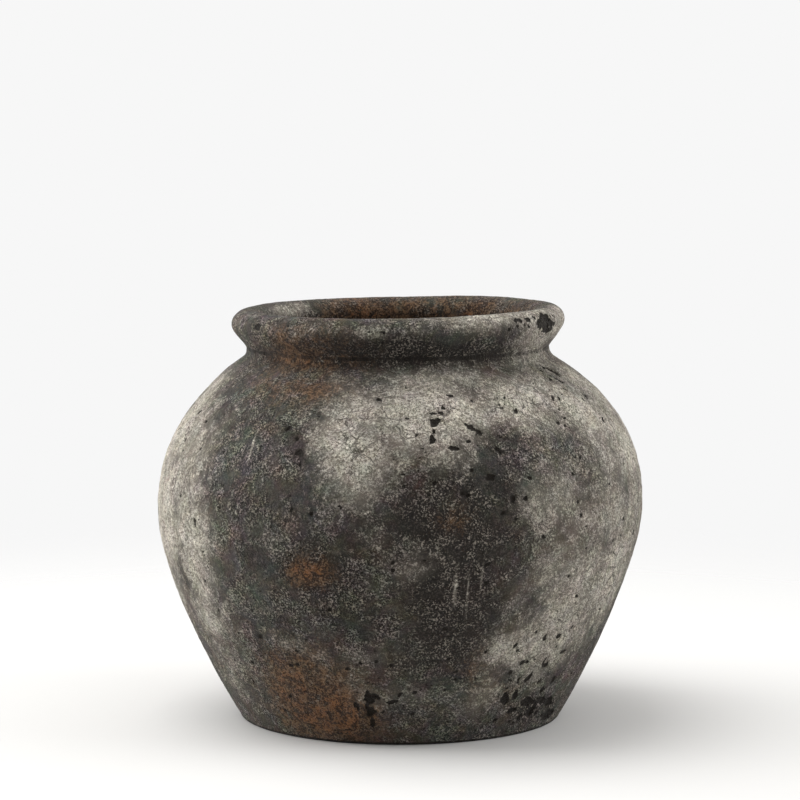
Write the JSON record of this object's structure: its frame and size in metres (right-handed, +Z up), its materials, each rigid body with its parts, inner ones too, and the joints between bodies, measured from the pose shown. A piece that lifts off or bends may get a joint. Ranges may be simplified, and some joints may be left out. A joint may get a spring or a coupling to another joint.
{
  "type": "clay jar",
  "caption": "Wide-bellied clay jar with a narrow flat foot, a short collar, a thick rolled rim and an open mouth.",
  "frame": {"origin": "centre of the underside of the foot ring, on the surface the jar stands on", "axes": "+Z up along the axis the jar is turned about; X and Y are free, and -Y is the side seen in the picture"},
  "size_m": [0.28, 0.28, 0.237],
  "materials": {
    "aged_clay": "matt gritty charcoal-grey clay with pale lime wash, rust-brown stains and small dark chips"
  },
  "bodies": {
    "root": {"base_dish": "aged_clay", "lower_wall": "aged_clay", "shoulder": "aged_clay", "collar": "aged_clay", "rolled_rim": "aged_clay"}
  },
  "joints": []
}
